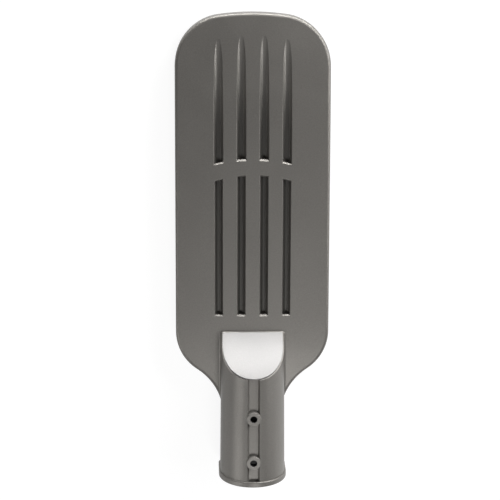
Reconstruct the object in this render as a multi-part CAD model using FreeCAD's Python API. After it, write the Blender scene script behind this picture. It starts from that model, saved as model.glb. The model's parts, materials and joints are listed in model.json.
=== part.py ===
# LED street light with a socket for a 60 mm pole spigot.
#
# The lamp lies with its grooved back up (+Z) and its lens side down. The origin is the centre
# of the socket's mouth, on the bore's axis. +Y runs from the mouth to the tip of the head, and
# +X is to the right when the lamp is seen from above. All sizes are in millimetres.
import FreeCAD, Part
import math
import os

V = FreeCAD.Vector

# Head of the die-cast housing, in plan.
head_length = 338.2
head_width = 163.4
head_taper = 1.5
corner_radius = 52.7
tip_radius = 258.0
shoulder_run = 36.2
shoulder_radius = 51.3
neck_radius = 64.5
neck_overlap = 3.1

# Head of the die-cast housing, in height.
back_z = -13.0
head_thickness = 29.0
flat_run = 8.8
tip_crown_length = 146.0
tip_crown_radius = 1089.0
shoulder_crown_radius = 580.0
cross_crown_radius = 1400.0
crown_spread = 1.2
edge_round = 3.5
side_wall = 4.5
top_wall = 3.5

# Cooling grooves in the back, and the arched bridge between their two rows.
groove_count = 4
groove_pitch = 23.9
groove_depth = 7.0
groove_draft = 12.0
upper_groove_width = 10.0
lower_groove_width = 9.0
groove_floor_round = 3.4
groove_run = 17.4
groove_rim_round = 0.6
bridge_gap = 152.6
bridge_radius = 160.0
bridge_width = 14.7
ramp_run = 1.8
ramp_drop = 2.0
rib_wall = 3.0
rib_side = 2.5

# Spigot socket.
bore_radius = 30.75
bore_depth = 92.0
spigot_side_wall = 3.85
spigot_top_wall = 7.25
spigot_bottom_wall = 2.75
spigot_draft = 0.5
spigot_corner = 9.0
lip_height = 1.6
lip_drop = 1.5
lip_length = 6.0
lip_round = 1.2
gland_chamber_radius = 24.0
gland_chamber_length = 24.0
gland_wall = 4.0

# Slanted, slightly hollow facet where the spigot runs down to the head's back, and its plate.
facet_run = 25.9
facet_length = 38.6
facet_step = 0.95
facet_radius = 245.0
facet_corner = 2.8
facet_round = 0.8
root_round = 2.5
neck_wall = 4.5
neck_pocket_length = 32.0
plate_margin = 1.0
plate_end_margin = 0.5
plate_thickness = 1.4
plate_round = 0.5

# Channel along the spigot's top, with two bosses for M8 clamp screws.
channel_width = 14.0
channel_floor_width = 9.2
channel_depth = 3.5
boss_first_y = 26.9
boss_spacing = 48.8
boss_rise = 1.0
boss_top_radius = 7.6
boss_base_radius = 9.0
boss_round = 0.9
clamp_hole_radius = 3.4
clamp_hole_chamfer = 0.5

# Front frame with its gasket, screws and glass.
frame_thickness = 4.0
frame_run = 5.0
frame_edge_round = 1.5
gasket_thickness = 1.0
gasket_margin = 0.8
gasket_width = 3.0
frame_screw_inset = 8.5
frame_screw_radius = 2.0
frame_screw_length = 12.0
frame_screw_head_radius = 4.0
frame_screw_sink = 0.2
screw_boss_wall = 2.5
screw_web_share = 0.7
flank_screw_shares = (0.1, 0.5, 0.9)
socket_width_share = 1.25
socket_depth_share = 0.8
window_margin = 21.7
window_gap = 8.0
window_end_gap = 26.0
window_corner = 8.0
window_chamfer = 1.5
glass_lap = 4.5
glass_thickness = 4.0
seal_thickness = 0.8

# LED board, its emitters and lens array.
board_margin = 21.7
board_gap = 4.0
board_end_gap = 28.0
board_room = 1.0
board_thickness = 1.6
led_columns = 4
led_rows = 6
led_margin = 12.5
led_size = 5.0
led_height = 0.7
lens_plate_thickness = 2.0
lens_radius = 11.0
lens_gap = 1.6
lens_pocket_radius = 4.5
lens_pocket_depth = 1.5
board_screw_inset = 8.0
board_screw_radius = 1.5
board_screw_grip = 4.0
board_screw_head_radius = 2.75
board_screw_head_height = 1.8
connector_width = 14.0
connector_length = 6.0
connector_height = 6.0
connector_gap = 1.0

# Gear compartment: driver, terminals, surge protector and earth point.
partition_gap = 6.0
partition_wall = 4.0
driver_side = 38.0
driver_length = 82.0
driver_gap = 2.5
driver_round = 3.0
driver_ear_length = 12.0
driver_ear_width = 16.0
driver_ear_thickness = 2.0
driver_screw_radius = 2.0
driver_screw_grip = 4.5
driver_screw_head_radius = 3.6
driver_screw_head_height = 2.4
seat_drop = 7.0
terminal_start_x = 28.0
terminal_gap = 1.0
terminal_lead_run = 13.6
terminal_width = 24.0
terminal_length = 18.0
terminal_room = 3.0
terminal_poles = 3
terminal_well_radius = 2.2
terminal_well_depth = 6.0
terminal_entry_radius = 1.6
terminal_entry_depth = 6.0
terminal_slot_width = 0.8
terminal_slot_depth = 1.0
surge_width = 22.0
surge_length = 22.0
surge_room = 4.0
surge_round = 2.0
surge_lead_shares = (0.35, 0.65)
earth_gap = 10.0
earth_boss_radius = 5.0
earth_screw_radius = 2.0
earth_screw_grip = 6.0
earth_screw_head_radius = 3.6
earth_screw_head_height = 2.6
earth_lug_radius = 4.6
earth_lug_thickness = 1.2
earth_tongue_length = 1.5
earth_tongue_width = 3.2
earth_barrel_length = 4.0
earth_barrel_wall = 0.6
lead_radius = 1.2
led_lead_spacing = 4.0
grommet_radius = 4.6
grommet_wall = 1.2
grommet_flange = 1.2

# Cable gland in the wall between the spigot and the gear compartment.
gland_z = -6.0
gland_thread_radius = 8.0
gland_hex = 20.0
gland_hex_length = 5.0
gland_nut_hex = 22.0
gland_nut_length = 5.0
gland_thread_spare = 2.0
gland_washer_thickness = 1.0
gland_cap_length = 15.0
gland_cap_taper = 2.0
gland_cable_radius = 4.5
gland_mouth_margin = 1.0
gland_wall_thickness = 2.0

# Breather vent in the front frame.
vent_run = 21.0
vent_radius = 5.5
vent_flange_radius = 8.0
vent_flange_thickness = 1.8
vent_body_length = 5.0

# Clearance round anything that passes through a hole or lies in a recess, the length by which
# a cutter runs past the face it opens, and how near an edge lies to a surface it belongs to.
clearance = 0.1
spare = 1.0
nearness = 0.02

# Levels that follow from the sizes above, from the front frame's face up to the grooved back.
rim_z = back_z - head_thickness
frame_top_z = rim_z + frame_thickness
base_z = frame_top_z + gasket_thickness
glass_z = frame_top_z + seal_thickness
groove_floor_z = back_z - groove_depth
ramp_foot_z = back_z - ramp_drop
ramp_top_z = back_z + ramp_drop
board_z = groove_floor_z - rib_wall
board_face_z = board_z - board_thickness
lens_face_z = board_face_z - lens_plate_thickness
lens_height = lens_face_z - glass_z - glass_thickness - lens_gap
driver_height = board_z - frame_top_z - driver_gap
seat_z = back_z - seat_drop
terminal_height = seat_z - frame_top_z - terminal_room
surge_height = seat_z - frame_top_z - surge_room
lead_z = seat_z - terminal_height / 2
earth_face_z = lead_z + earth_lug_thickness / 2
grommet_z = board_face_z - connector_height / 2

# Spigot and facet.
spigot_half = bore_radius + spigot_side_wall
spigot_apex = bore_radius + spigot_top_wall
spigot_bottom = -bore_radius - spigot_bottom_wall
gland_wall_y = bore_depth + gland_chamber_length
gear_start_y = gland_wall_y + gland_wall
facet_start_y = bore_depth + facet_run
facet_end_y = facet_start_y + facet_length
facet_end_z = back_z + facet_step
facet_start = V(0, facet_start_y, spigot_apex)
facet_end = V(0, facet_end_y, facet_end_z)
facet_chord = facet_end - facet_start
facet_normal = V(0, -facet_chord.z, facet_chord.y).normalize()
facet_rise = math.sqrt(facet_radius ** 2 - (facet_chord.Length / 2) ** 2)
facet_centre = (facet_start + facet_end) * 0.5 + facet_normal * facet_rise

# Places along the head.
shoulder_y = gear_start_y + shoulder_run
tip_y = shoulder_y + head_length
reach = 2 * tip_y
flat_start_y = shoulder_y + flat_run
flat_end_y = tip_y - tip_crown_length
groove_end_y = shoulder_y + groove_run
bridge_y = tip_y - bridge_gap
groove_xs = [(i - (groove_count - 1) / 2) * groove_pitch for i in range(groove_count)]
frame_start_y = bore_depth + frame_run
vent_y = gear_start_y + vent_run
window_side = head_width / 2 - window_margin
window_end_y = tip_y - window_end_gap
glass_side = window_side + glass_lap
glass_end_y = window_end_y + glass_lap
board_side = head_width / 2 - board_margin
board_end_y = tip_y - board_end_gap
board_screw_x = board_side - board_screw_inset
led_column_pitch = 2 * board_side / led_columns


def box(x0, x1, y0, y1, z0, z1):
    return Part.makeBox(x1 - x0, y1 - y0, z1 - z0, V(x0, y0, z0))


def rod(radius, start, end):
    return Part.makeCylinder(radius, (end - start).Length, start, end - start)


def cone(start_radius, end_radius, start, end):
    return Part.makeCone(start_radius, end_radius, (end - start).Length, start, end - start)


def fuse_all(shapes):
    return shapes[0].multiFuse(shapes[1:]) if len(shapes) > 1 else shapes[0]


def edges_along(shape, axis):
    """Straight edges of a shape that run along one axis."""
    found = []
    for edge in shape.Edges:
        if isinstance(edge.Curve, Part.Line):
            if abs(abs(edge.tangentAt(edge.FirstParameter).dot(axis)) - 1) < 1e-6:
                found.append(edge)
    return found


def rounded_plate(half_width, y0, y1, radius, z0, z1):
    plate = box(-half_width, half_width, y0, y1, z0, z1)
    return plate.makeFillet(radius, edges_along(plate, V(0, 0, 1)))


def hex_prism(across_flats, start, end):
    """Hexagonal bar between two points on a line along Y or Z."""
    corner = across_flats / math.sqrt(3)
    along = end - start
    side = V(1, 0, 0)
    up = along.cross(side).normalize()
    points = []
    for i in range(7):
        turn = math.radians(60 * i)
        points.append(start + side * (corner * math.cos(turn)) + up * (corner * math.sin(turn)))
    return Part.Face(Part.makePolygon(points)).extrude(along)


# Plan of the head: a concave neck arc and a convex shoulder arc on each side, a nearly straight
# flank, a corner arc and a shallow tip arc. Every arc shifts to its own offset for an inner wall.
shoulder_x = head_width / 2 - shoulder_radius
neck_x = spigot_half - neck_overlap
shoulder_turn = math.acos((neck_x + neck_radius - shoulder_x) / (shoulder_radius + neck_radius))
neck_y = shoulder_y - (shoulder_radius + neck_radius) * math.sin(shoulder_turn)
neck_centre = V(neck_x + neck_radius, neck_y, 0)
shoulder_centre = V(shoulder_x, shoulder_y, 0)
tip_centre = V(0, tip_y - tip_radius, 0)
corner_x = (head_width - head_taper) / 2 - corner_radius
corner_y = tip_centre.y + math.sqrt((tip_radius - corner_radius) ** 2 - corner_x ** 2)
corner_centre = V(corner_x, corner_y, 0)
tip_turn = math.atan2(corner_centre.y - tip_centre.y, corner_x)
flank = corner_centre - shoulder_centre
flank_turn = math.asin((shoulder_radius - corner_radius) / flank.Length) + math.atan2(-flank.x, flank.y)
neck_away = math.sqrt(neck_radius ** 2 - (neck_centre.x - spigot_half) ** 2)
neck_start_y = neck_y + neck_away - neck_overlap / 2


def plan_point(centre, radius, turn, side):
    return V(side * (centre.x + radius * math.cos(turn)), centre.y + radius * math.sin(turn), 0)


def plan_arc(centre, radius, start, end, side):
    ends = [plan_point(centre, radius, turn, side) for turn in (start, (start + end) / 2, end)]
    return Part.Arc(*ends).toShape()


# Places of the gear, one after the other from the waist screws to the LED board.
waist_screw = plan_point(shoulder_centre, shoulder_radius - frame_screw_inset, -shoulder_turn, 1)
terminal_start_y = waist_screw.y + frame_screw_radius + screw_boss_wall + terminal_gap
terminal_end_y = terminal_start_y + terminal_length
terminal_pitch = terminal_width / terminal_poles
terminal_xs = [terminal_start_x + (i + 0.5) * terminal_pitch for i in range(terminal_poles)]
earth_place = V(terminal_xs[-1], terminal_end_y + earth_gap + earth_lug_radius, 0)
earth_lead_end_y = earth_place.y - earth_boss_radius - earth_tongue_length
driver_start_y = terminal_end_y + terminal_lead_run
driver_end_y = driver_start_y + driver_length
partition_y = driver_end_y + partition_gap
led_bay_y = partition_y + partition_wall
board_start_y = led_bay_y + board_gap
window_start_y = board_start_y + window_gap
glass_start_y = window_start_y - glass_lap
connector_start_y = board_start_y + connector_gap
lens_start_y = connector_start_y + connector_length + connector_gap + clearance


def flank_edges(inset, side):
    shoulder = shoulder_radius - inset
    corner = corner_radius - inset
    foot = plan_point(shoulder_centre, shoulder, flank_turn, side)
    top = plan_point(corner_centre, corner, flank_turn, side)
    return [
        plan_arc(neck_centre, neck_radius + inset, math.pi, math.pi - shoulder_turn, side),
        plan_arc(shoulder_centre, shoulder, -shoulder_turn, flank_turn, side),
        Part.makeLine(foot, top),
        plan_arc(corner_centre, corner, flank_turn, tip_turn, side),
    ]


def head_prism(inset, z0, z1, start_y):
    """Upright block on the head's plan, from start_y to the tip."""
    edges = flank_edges(inset, 1) + flank_edges(inset, -1)
    edges.append(plan_arc(tip_centre, tip_radius - inset, tip_turn, math.pi - tip_turn, 1))
    neck_edge = neck_x - inset
    edges.append(Part.makeLine(V(-neck_edge, neck_centre.y, 0), V(neck_edge, neck_centre.y, 0)))
    face = Part.Face(Part.Wire(Part.__sortEdges__(edges)))
    face.translate(V(0, 0, z0))
    block = face.extrude(V(0, 0, z1 - z0))
    return block.common(box(-head_width, head_width, start_y, reach, z0, z1))


def crown_height(y, drop):
    """Height of the back's centre line, lowered by drop."""
    if y < flat_start_y:
        radius = shoulder_crown_radius
        away = flat_start_y - y
    else:
        radius = tip_crown_radius
        away = max(0.0, y - flat_end_y)
    return back_z - drop - radius + math.sqrt(radius ** 2 - away ** 2)


def back_height(x, y):
    """Height of the crowned back at any place."""
    axis_z = back_z - cross_crown_radius
    return axis_z + math.sqrt((crown_height(y, 0) - axis_z) ** 2 - x ** 2)


def edge_middle(edge):
    return edge.valueAt((edge.FirstParameter + edge.LastParameter) / 2)


def under_crown(drop):
    """All that lies under the crowned back, or under a surface parallel to it."""
    near_y = 0.0
    far_y = tip_y + edge_round
    low_z = rim_z - head_thickness

    def at(y):
        return V(0, y, crown_height(y, drop))

    edges = [
        Part.Arc(at(near_y), at((near_y + flat_start_y) / 2), at(flat_start_y)).toShape(),
        Part.makeLine(at(flat_start_y), at(flat_end_y)),
        Part.Arc(at(flat_end_y), at((flat_end_y + far_y) / 2), at(far_y)).toShape(),
        Part.makeLine(at(far_y), V(0, far_y, low_z)),
        Part.makeLine(V(0, far_y, low_z), V(0, near_y, low_z)),
        Part.makeLine(V(0, near_y, low_z), at(near_y)),
    ]
    face = Part.Face(Part.Wire(edges))
    axis_point = V(0, 0, back_z - cross_crown_radius)
    swing = math.degrees(math.asin(crown_spread * head_width / 2 / cross_crown_radius))
    face.rotate(axis_point, V(0, 1, 0), -swing)
    return face.revolve(axis_point, V(0, 1, 0), 2 * swing)


def head_slab():
    """The head with its crowned back and rounded upper edge."""
    slab = head_prism(0, base_z, 0, neck_start_y).common(under_crown(0))
    rim = []
    for edge in slab.Edges:
        bounds = edge.BoundBox
        if bounds.ZMin > base_z + edge_round and bounds.YLength > nearness:
            rim.append(edge)
    return slab.makeFillet(edge_round, rim)


def spigot_wire(y, half_width, apex, bottom, corner):
    """Section of the spigot: an oval top over upright sides and a flat bottom."""
    oval = Part.Ellipse(V(0, y, apex), V(half_width, y, 0), V(0, y, 0))
    turn = corner * math.sqrt(0.5)
    right = V(half_width - corner, y, bottom + corner)
    left = V(corner - half_width, y, bottom + corner)
    edges = [
        oval.toShape(-math.pi / 2, math.pi / 2),
        Part.makeLine(V(half_width, y, 0), right + V(corner, 0, 0)),
        Part.Arc(right + V(corner, 0, 0), right + V(turn, 0, -turn), right + V(0, 0, -corner)).toShape(),
        Part.makeLine(right + V(0, 0, -corner), left + V(0, 0, -corner)),
        Part.Arc(left + V(0, 0, -corner), left + V(-turn, 0, -turn), left + V(-corner, 0, 0)).toShape(),
        Part.makeLine(left + V(-corner, 0, 0), V(-half_width, y, 0)),
    ]
    return Part.Wire(Part.__sortEdges__(edges))


def over_facet(depth):
    """All that lies above the hollow facet, or above a surface some depth below it."""
    side = V(head_width, 0, 0)
    return rod(facet_radius + depth, facet_centre - side, facet_centre + side)


def spigot_half_at(y):
    return spigot_half - y * math.tan(math.radians(spigot_draft))


def plain_spigot(inset, end_inset):
    """The spigot's outer form, or a smaller one inside it, cut off along the facet."""
    end_y = facet_end_y - end_inset
    apex = spigot_apex - inset
    near = spigot_wire(0, spigot_half - inset, apex, spigot_bottom, spigot_corner)
    far = spigot_wire(end_y, spigot_half_at(end_y) - inset, apex, spigot_bottom, spigot_corner)
    body = Part.makeLoft([near, far], True, True)
    ends = [e for e in edges_along(body, V(0, 0, 1)) if e.CenterOfMass.y > end_y - nearness]
    return body.makeFillet(facet_corner - inset, ends).cut(over_facet(0))


def facet_face(body):
    """The hollow face that looks up the slope, the only round one about an axis along X."""
    faces = [f for f in body.Faces if isinstance(f.Surface, Part.Cylinder)]
    return max((f for f in faces if abs(f.Surface.Axis.x) > 0.999), key=lambda f: f.Area)


def rounded_spigot():
    body = plain_spigot(0, 0)
    return body.makeFillet(facet_round, facet_face(body).Edges)


def root_edges(body):
    """The two edges where the spigot's sides meet the head's back."""
    found = []
    for edge in body.Edges:
        middle = edge_middle(edge)
        on_side = abs(abs(middle.x) - spigot_half_at(middle.y)) < nearness
        if on_side and flat_start_y > middle.y > neck_start_y:
            if abs(middle.z - back_height(middle.x, middle.y)) < nearness:
                found.append(edge)
    return found


def mouth_lip():
    half_width = spigot_half + lip_height
    wire = spigot_wire(0, half_width, spigot_apex + lip_height, spigot_bottom - lip_drop, spigot_corner)
    lip = Part.Face(wire).extrude(V(0, lip_length, 0))
    ends = [e for e in lip.Edges if e.BoundBox.YLength < nearness]
    return lip.makeFillet(lip_round, ends)


def groove_cutter(x, width, y0, y1):
    """Long drafted cutter with a rounded floor; its walls are width apart at the back's level."""
    slope = math.tan(math.radians(groove_draft))
    floor_half = width / 2 - groove_depth * slope
    rise = 3 * groove_depth
    top_half = floor_half + rise * slope
    points = [
        V(x - floor_half, y0, groove_floor_z),
        V(x + floor_half, y0, groove_floor_z),
        V(x + top_half, y0, groove_floor_z + rise),
        V(x - top_half, y0, groove_floor_z + rise),
    ]
    cutter = Part.Face(Part.makePolygon(points + points[:1])).extrude(V(0, y1 - y0, 0))
    floor = [e for e in edges_along(cutter, V(0, 1, 0)) if e.CenterOfMass.z < groove_floor_z + nearness]
    return cutter.makeFillet(groove_floor_round, floor)


def bridge():
    """Arched band between the two rows of grooves; its upper edges are ramps."""
    centre_y = bridge_y - bridge_radius
    low_z = groove_floor_z - spare
    outer_y = bridge_y
    inner_y = bridge_y - bridge_width
    points = [
        V(0, inner_y - ramp_run, low_z),
        V(0, outer_y + ramp_run, low_z),
        V(0, outer_y + ramp_run, ramp_foot_z),
        V(0, outer_y - ramp_run, ramp_top_z),
        V(0, inner_y + ramp_run, ramp_top_z),
        V(0, inner_y - ramp_run, ramp_foot_z),
    ]
    face = Part.Face(Part.makePolygon(points + points[:1]))
    return face.revolve(V(0, centre_y, 0), V(0, 0, 1), 360)


def end_ramp():
    """Foot that stands in the lower row's ends, so that each ends in a ramp."""
    low_z = groove_floor_z - spare
    near_y = groove_end_y - ramp_run
    points = [
        V(0, near_y - spare, low_z),
        V(0, groove_end_y + ramp_run, low_z),
        V(0, groove_end_y + ramp_run, ramp_foot_z),
        V(0, near_y, ramp_top_z),
        V(0, near_y - spare, ramp_top_z),
    ]
    face = Part.Face(Part.makePolygon(points + points[:1]))
    face.translate(V(-head_width / 2, 0, 0))
    return face.extrude(V(head_width, 0, 0))


def grooves():
    split_y = bridge_y - bridge_width / 2
    band = bridge()
    foot = end_ramp()
    cutters = []
    for x in groove_xs:
        lower = groove_cutter(x, lower_groove_width, groove_end_y - ramp_run, split_y)
        upper = groove_cutter(x, upper_groove_width, split_y, reach)
        cutters.append(lower.cut(band).cut(foot))
        cutters.append(upper.cut(band))
    return cutters


def groove_rims(body):
    """Edges where the grooves open into the head's back."""
    field = groove_pitch * groove_count / 2
    found = []
    for edge in body.Edges:
        middle = edge_middle(edge)
        in_field = abs(middle.x) < field and middle.y > groove_end_y - groove_rim_round
        if in_field and edge.BoundBox.XLength < groove_pitch / 2:
            away = abs(middle.z - back_height(middle.x, middle.y))
            if away < nearness and edge.Length > groove_rim_round:
                found.append(edge)
    return found


def channel():
    top_half = channel_width / 2
    floor_half = channel_floor_width / 2
    slope = (top_half - floor_half) / channel_depth
    floor_z = spigot_apex - channel_depth
    rise = 3 * channel_depth
    points = [
        V(-floor_half, lip_length, floor_z),
        V(floor_half, lip_length, floor_z),
        V(floor_half + slope * rise, lip_length, floor_z + rise),
        V(-floor_half - slope * rise, lip_length, floor_z + rise),
    ]
    return Part.Face(Part.makePolygon(points + points[:1])).extrude(V(0, facet_end_y, 0))


def clamp_bosses():
    bosses = []
    for i in range(2):
        foot = V(0, boss_first_y + i * boss_spacing, bore_radius)
        top = V(foot.x, foot.y, spigot_apex + boss_rise)
        boss = cone(boss_base_radius, boss_top_radius, foot, top)
        rim = [e for e in boss.Edges if e.BoundBox.ZMin > top.z - nearness]
        bosses.append(boss.makeFillet(boss_round, rim))
    return bosses


def clamp_holes():
    holes = []
    for i in range(2):
        y = boss_first_y + i * boss_spacing
        top = V(0, y, spigot_apex + boss_rise)
        holes.append(rod(clamp_hole_radius, V(0, y, 0), top))
        flare = clamp_hole_radius + clamp_hole_chamfer
        holes.append(cone(clamp_hole_radius, flare, top - V(0, 0, clamp_hole_chamfer), top))
    return holes


def frame_screw_mounts():
    """Place of each frame screw and the way out to the head's edge: flanks, tip and waist."""
    flank_x = (head_width - head_taper) / 2 - frame_screw_inset
    mounts = []
    for side in (-1, 1):
        for share in flank_screw_shares:
            y = shoulder_centre.y + share * flank.y
            mounts.append((V(side * flank_x, y, 0), V(side, 0, 0)))
        tip_screw = plan_point(tip_centre, tip_radius - frame_screw_inset, tip_turn, side)
        mounts.append((tip_screw, plan_point(V(0, 0, 0), 1, tip_turn, side)))
        waist_out = plan_point(V(0, 0, 0), 1, -shoulder_turn, side)
        mounts.append((V(side * waist_screw.x, waist_screw.y, 0), waist_out))
    return mounts


def frame_screw_places():
    return [place for place, outward in frame_screw_mounts()]


def screw_boss(place, outward):
    """Boss for a frame screw, joined to the side wall by a web."""
    radius = frame_screw_radius + screw_boss_wall
    low = V(0, 0, base_z - spare)
    across = V(-outward.y, outward.x, 0) * (screw_web_share * radius)
    far = place + outward * frame_screw_inset
    corners = [place + across, far + across, far - across, place - across]
    points = [corner + low for corner in corners + corners[:1]]
    web = Part.Face(Part.makePolygon(points)).extrude(-low)
    return rod(radius, place + low, place).fuse(web)


def board_screw_places():
    rows = led_row_ys()
    places = []
    for row in range(0, led_rows - 1, 2):
        y = (rows[row] + rows[row + 1]) / 2
        places.append(V(-board_screw_x, y, 0))
        places.append(V(board_screw_x, y, 0))
    return places


def led_row_ys():
    first = lens_start_y + led_margin
    last = board_end_y - led_margin
    return [first + (last - first) * i / (led_rows - 1) for i in range(led_rows)]


def led_places():
    columns = [(i - (led_columns - 1) / 2) * led_column_pitch for i in range(led_columns)]
    return [V(x, y, 0) for x in columns for y in led_row_ys()]


def driver_screw_places():
    x = driver_side + driver_ear_length / 2
    y = driver_start_y + driver_length / 2
    return [V(-x, y, 0), V(x, y, 0)]


def kept_in_bays():
    """Ribs, bosses and seats that stand inside the housing's two bays."""
    kept = []
    rib_half = upper_groove_width / 2 + rib_side
    for x in groove_xs:
        kept.append(box(x - rib_half, x + rib_half, groove_end_y - rib_wall, tip_y, board_z, 0))
    for place, outward in frame_screw_mounts():
        kept.append(screw_boss(place, outward))
    for place in board_screw_places():
        kept.append(rod(board_screw_radius + screw_boss_wall, place + V(0, 0, board_z), place))
    for place in driver_screw_places():
        kept.append(rod(driver_screw_radius + screw_boss_wall, place + V(0, 0, board_z), place))
    for side in (-1, 1):
        width = terminal_width if side > 0 else surge_width
        length = terminal_length if side > 0 else surge_length
        x0 = min(side * terminal_start_x, side * (terminal_start_x + width))
        kept.append(box(x0, x0 + width, terminal_start_y, terminal_start_y + length, seat_z, 0))
    kept.append(rod(earth_boss_radius, earth_place + V(0, 0, earth_face_z), earth_place))
    return kept


def bays():
    """Hollows under the head: the gear compartment with its neck pocket, and the LED bay."""
    low = base_z - spare
    inner = under_crown(top_wall)
    gear = head_prism(side_wall, low, 0, gear_start_y)
    gear = gear.common(box(-head_width, head_width, 0, partition_y, low, 0)).common(inner)
    leds = head_prism(side_wall, low, 0, led_bay_y).common(inner)
    pocket_half = spigot_half - 2 * neck_wall
    pocket_apex = spigot_apex - channel_depth - neck_wall
    section = spigot_wire(gear_start_y, pocket_half, pocket_apex, low, spigot_corner)
    pocket = Part.Face(section).extrude(V(0, neck_pocket_length, 0)).cut(over_facet(neck_wall))
    kept = kept_in_bays()
    seat_half = board_side + board_room
    board_seat = box(-seat_half, seat_half, led_bay_y, board_end_y + board_room, low, board_z)
    return [gear.cut(kept), leds.cut(kept), board_seat.cut(kept), pocket]


def screw_holes():
    holes = []
    for place in frame_screw_places():
        depth = frame_screw_length - frame_thickness - gasket_thickness + spare
        top = place + V(0, 0, base_z + depth)
        holes.append(rod(frame_screw_radius + clearance, place + V(0, 0, base_z - spare), top))
    for place in board_screw_places():
        top = place + V(0, 0, board_z + board_screw_grip)
        holes.append(rod(board_screw_radius + clearance, place + V(0, 0, board_z - spare), top))
    for place in driver_screw_places():
        top = place + V(0, 0, board_z + driver_screw_grip)
        holes.append(rod(driver_screw_radius + clearance, place + V(0, 0, board_z - spare), top))
    top = earth_place + V(0, 0, earth_face_z + earth_screw_grip)
    holes.append(rod(earth_screw_radius + clearance, earth_place + V(0, 0, earth_face_z - spare), top))
    return holes


def housing():
    body = fuse_all([head_slab(), rounded_spigot(), mouth_lip()])
    body = body.makeFillet(root_round, root_edges(body))
    body = body.cut(grooves() + [channel()])
    body = body.makeFillet(groove_rim_round, groove_rims(body))
    body = fuse_all([body] + clamp_bosses())
    inside = [
        rod(bore_radius, V(0, 0, 0), V(0, bore_depth, 0)),
        rod(gland_chamber_radius, V(0, bore_depth, 0), V(0, gland_wall_y, 0)),
        rod(gland_thread_radius + clearance, on_gland(bore_depth), on_gland(gear_start_y)),
    ]
    grommet_hole = rod(grommet_radius, V(0, partition_y, grommet_z), V(0, led_bay_y, grommet_z))
    for cut in inside + clamp_holes() + bays() + [grommet_hole] + screw_holes():
        body = body.cut(cut)
    return body.removeSplitter()


def blank_plate():
    """Plate on the slanted facet, a margin inside its edge, with a rounded upper edge."""
    seat = facet_face(plain_spigot(plate_margin, plate_end_margin))
    plate = seat.extrude(facet_normal * plate_thickness)
    top = max(plate.Faces, key=lambda f: f.CenterOfMass.dot(facet_normal))
    return plate.makeFillet(plate_round, top.Edges)


def window_block(z0, z1):
    return rounded_plate(window_side, window_start_y, window_end_y, window_corner, z0, z1)


def front_frame():
    frame = head_prism(0, rim_z, frame_top_z, frame_start_y)
    outer = [e for e in frame.Edges if e.BoundBox.ZMax < rim_z + nearness]
    frame = frame.makeFillet(frame_edge_round, outer)
    frame = frame.cut(window_block(rim_z - spare, frame_top_z + spare))
    flare = window_side + spare
    rims = []
    for edge in frame.Edges:
        bounds = edge.BoundBox
        inside = bounds.XMax < flare and bounds.XMin > -flare and bounds.YMin > window_start_y - spare
        if inside and bounds.YMax < window_end_y + spare and bounds.ZMax < rim_z + nearness:
            rims.append(edge)
    frame = frame.makeChamfer(window_chamfer, rims)
    cuts = []
    for place in frame_screw_places():
        low = place + V(0, 0, rim_z)
        sink = frame_screw_head_radius - frame_screw_radius
        cuts.append(rod(frame_screw_radius + 2 * clearance, low, place + V(0, 0, frame_top_z)))
        wide = frame_screw_head_radius + clearance
        cuts.append(rod(wide, low, low + V(0, 0, frame_screw_sink)))
        seat = low + V(0, 0, frame_screw_sink)
        cuts.append(cone(wide, wide - sink, seat, seat + V(0, 0, sink)))
    vent = V(0, vent_y, rim_z)
    cuts.append(rod(vent_radius + clearance, vent, vent + V(0, 0, frame_thickness)))
    vent_seat = vent + V(0, 0, vent_flange_thickness + clearance)
    cuts.append(rod(vent_flange_radius + clearance, vent, vent_seat))
    return frame.cut(cuts)


def frame_gasket():
    outer = head_prism(gasket_margin, frame_top_z, base_z, frame_start_y + gasket_margin)
    inner_edge = gasket_margin + gasket_width
    inner = head_prism(inner_edge, frame_top_z - spare, base_z + spare, frame_start_y + inner_edge)
    return outer.cut(inner)


def frame_screws():
    screws = []
    sink = frame_screw_head_radius - frame_screw_radius
    for place in frame_screw_places():
        low = place + V(0, 0, rim_z + frame_screw_sink)
        neck = low + V(0, 0, sink)
        head = cone(frame_screw_head_radius, frame_screw_radius, low, neck)
        shank = rod(frame_screw_radius, neck, low + V(0, 0, frame_screw_length - frame_screw_sink))
        depth = socket_depth_share * frame_screw_radius
        socket = hex_prism(socket_width_share * frame_screw_radius, low, low + V(0, 0, depth))
        screws.append(head.fuse(shank).cut(socket))
    return Part.makeCompound(screws)


def pan_screw(place, seat, grip, radius, head_radius, head_height):
    """Screw with a rounded head below its seat and its shank pointing up."""
    low = place + V(0, 0, seat - head_height)
    head = rod(head_radius, low, place + V(0, 0, seat))
    rim = [e for e in head.Edges if e.BoundBox.ZMax < low.z + nearness]
    head = head.makeFillet(head_height / 2, rim)
    shank = rod(radius, place + V(0, 0, seat), place + V(0, 0, seat + grip))
    socket = hex_prism(socket_width_share * radius, low, low + V(0, 0, head_height / 2))
    return head.fuse(shank).cut(socket)


def glass_block(z0, z1):
    return rounded_plate(glass_side, glass_start_y, glass_end_y, window_corner + glass_lap, z0, z1)


def glass_cover():
    return glass_block(glass_z, glass_z + glass_thickness)


def glass_seal():
    return glass_block(frame_top_z, glass_z).cut(window_block(frame_top_z - spare, glass_z + spare))


def led_board():
    board = box(-board_side, board_side, board_start_y, board_end_y, board_face_z, board_z)
    holes = []
    for place in board_screw_places():
        low = place + V(0, 0, board_face_z - spare)
        holes.append(rod(board_screw_radius + clearance, low, place + V(0, 0, board_z + spare)))
    return board.cut(holes)


def led_emitters():
    half = led_size / 2
    chips = []
    for place in led_places():
        low = board_face_z - led_height
        chips.append(box(place.x - half, place.x + half, place.y - half, place.y + half, low, board_face_z))
    return Part.makeCompound(chips)


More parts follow.
